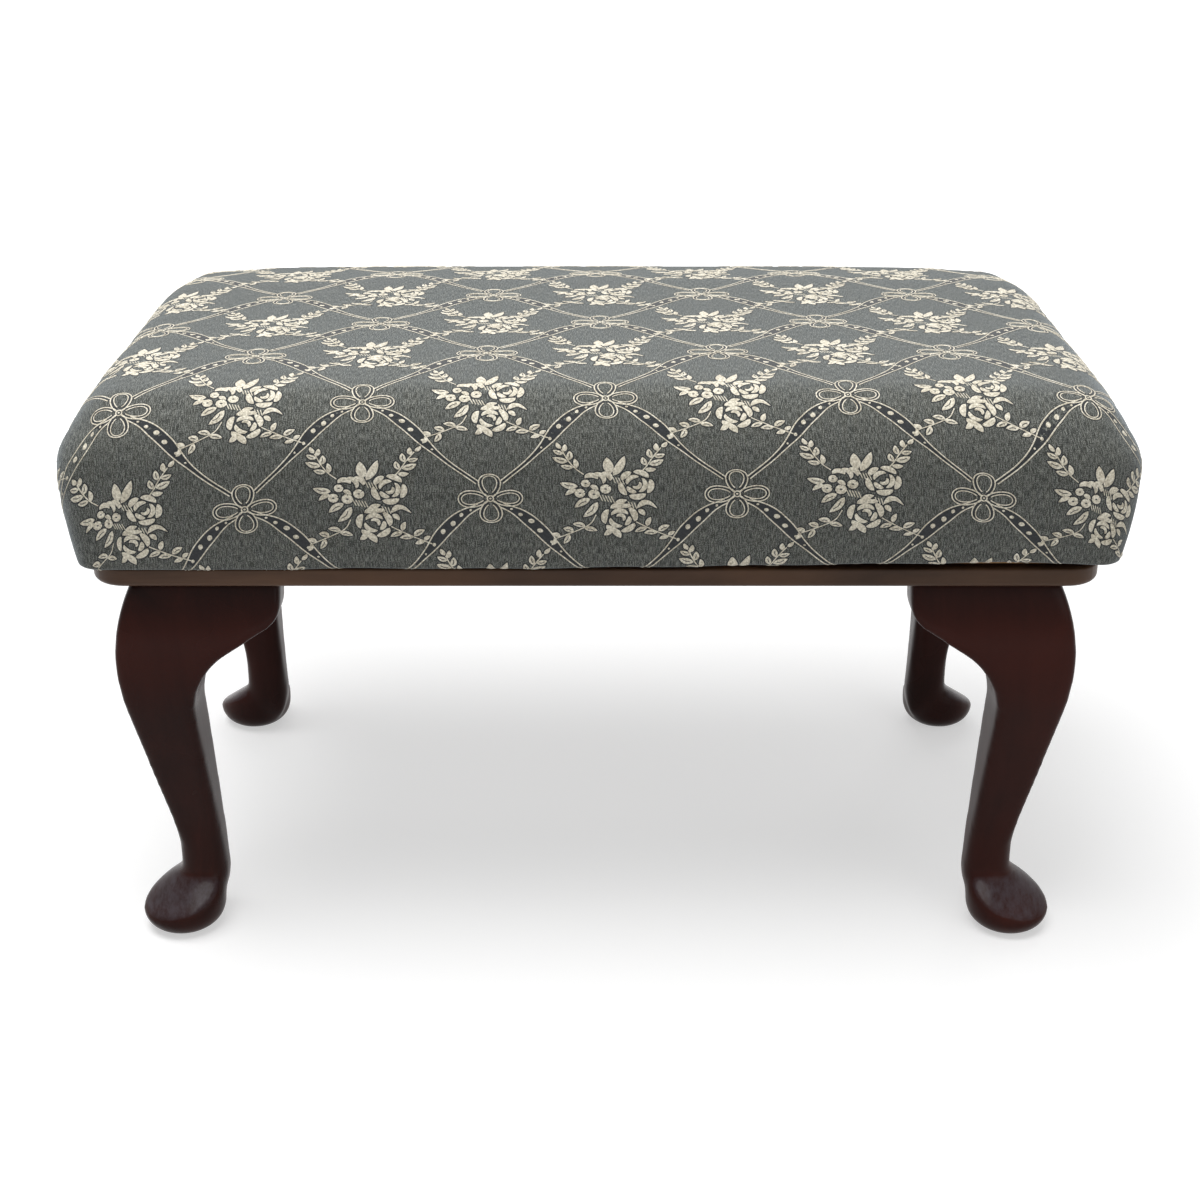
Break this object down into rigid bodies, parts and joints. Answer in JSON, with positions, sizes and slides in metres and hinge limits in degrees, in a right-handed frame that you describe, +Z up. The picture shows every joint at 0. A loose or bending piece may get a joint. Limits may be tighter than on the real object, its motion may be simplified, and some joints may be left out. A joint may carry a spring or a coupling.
{
  "type": "upholstered footstool",
  "caption": "Rectangular upholstered footstool: padded woven-pattern top on a thin mitred wooden rail, with cabriole legs, ear brackets and pad feet.",
  "frame": {"origin": "on the floor under the middle of the stool", "axes": "+X along the length to the right as seen from the front, -Y to the front, +Z up"},
  "size_m": [0.468, 0.282, 0.275],
  "materials": {
    "rail_wood": "satin",
    "leg_wood": "satin gloss",
    "hidden_wood": "plain",
    "foam": "matt",
    "wadding": "matt",
    "cover_fabric": "woven",
    "lining_cloth": "matt"
  },
  "bodies": {
    "root": {"front_rail": "rail_wood", "right_rail": "rail_wood", "back_rail": "rail_wood", "left_rail": "rail_wood", "leg_front_left": "leg_wood", "leg_front_right": "leg_wood", "leg_back_left": "leg_wood", "leg_back_right": "leg_wood", "ear_front_left": "leg_wood", "ear_front_right": "leg_wood", "ear_back_left": "leg_wood", "ear_back_right": "leg_wood", "ear_left_front": "leg_wood", "ear_left_back": "leg_wood", "ear_right_front": "leg_wood", "ear_right_back": "leg_wood", "mitre_tongues": "hidden_wood", "corner_dowels": "hidden_wood", "seat_board": "hidden_wood", "foam_block": "foam", "wadding": "wadding", "fabric_cover": "cover_fabric", "bottom_lining": "lining_cloth"}
  },
  "joints": []
}
